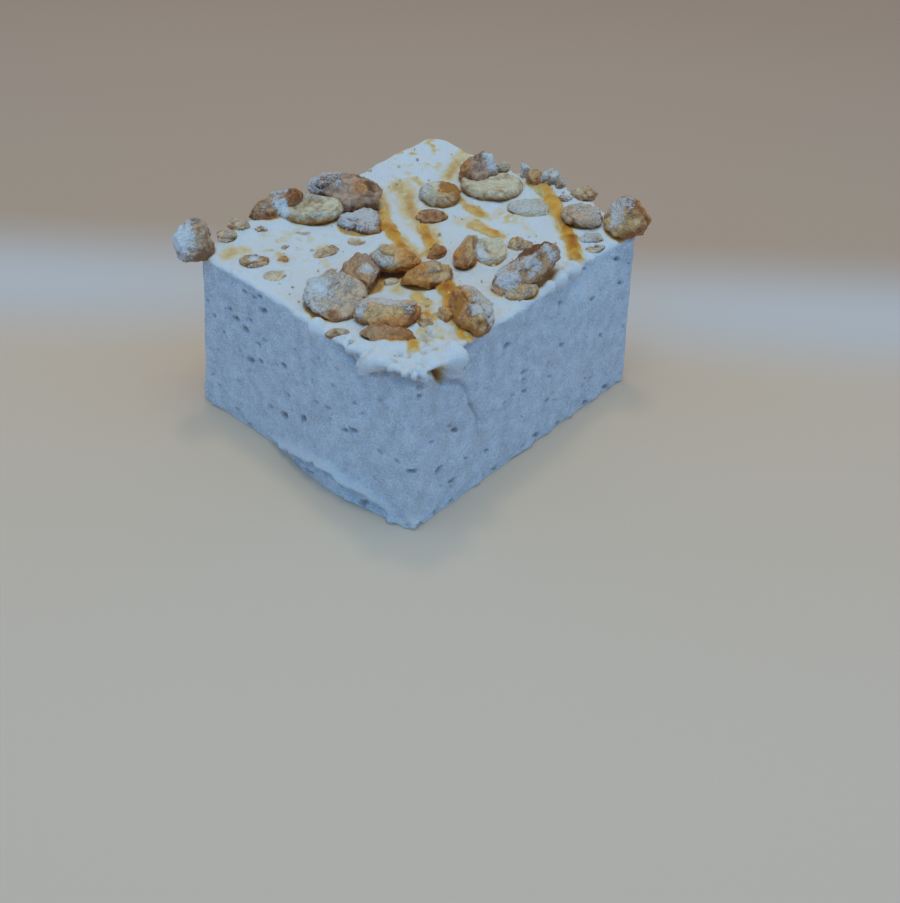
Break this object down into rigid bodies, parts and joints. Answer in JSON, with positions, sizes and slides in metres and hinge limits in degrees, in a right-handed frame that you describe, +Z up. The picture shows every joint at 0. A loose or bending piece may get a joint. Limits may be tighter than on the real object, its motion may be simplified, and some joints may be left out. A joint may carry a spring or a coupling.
{
  "type": "caramel marshmallow",
  "caption": "Thick cut square of white marshmallow with a flat base, its top covered with dusted roasted peanut pieces, small chips and strings of caramel.",
  "frame": {"origin": "middle of the flat base, on the surface it stands on", "axes": "+Z up; +X along the longer side of the cut square; +Y along the shorter side, away from the front wall"},
  "size_m": [0.0684, 0.0577, 0.0383],
  "materials": {
    "marshmallow": "soft matte whipped sugar foam, cut and torn, lightly dusted with starch",
    "peanut_floury": "roasted peanut under a coat of starch and sugar powder",
    "peanut_pale": "pale inner face of a roasted peanut half",
    "peanut_brown": "dark roasted peanut, specked with powder",
    "peanut_grey": "dark roasted peanut under thin powder",
    "peanut_tan": "roasted peanut with a thin caramel glaze",
    "caramel": "soft glossy caramel, pale where it is thin and amber where it is thick"
  },
  "bodies": {
    "root": {"marshmallow": "marshmallow", "nut_corner": "peanut_floury", "nut_long_half": "peanut_pale", "nut_brown_shard": "peanut_brown", "nut_dark_whole": "peanut_grey", "nut_wedge": "peanut_grey", "nut_round_half": "peanut_floury", "nut_propped": "peanut_tan", "nut_folded": "peanut_brown", "nut_glazed_half": "peanut_tan", "nut_front_half": "peanut_tan", "nut_under": "peanut_brown", "nut_edge_whole": "peanut_tan", "nut_crescent": "peanut_tan", "nut_plate": "peanut_pale", "nut_powdered_long": "peanut_brown", "nut_powdered_lobe": "peanut_tan", "nut_right_oval": "peanut_floury", "nut_right_corner": "peanut_tan", "nut_flat_pale": "peanut_pale", "nut_back_half": "peanut_pale", "nut_back_edge": "peanut_grey", "nut_drizzled": "peanut_pale", "nut_sunken": "peanut_brown"}
  },
  "joints": []
}
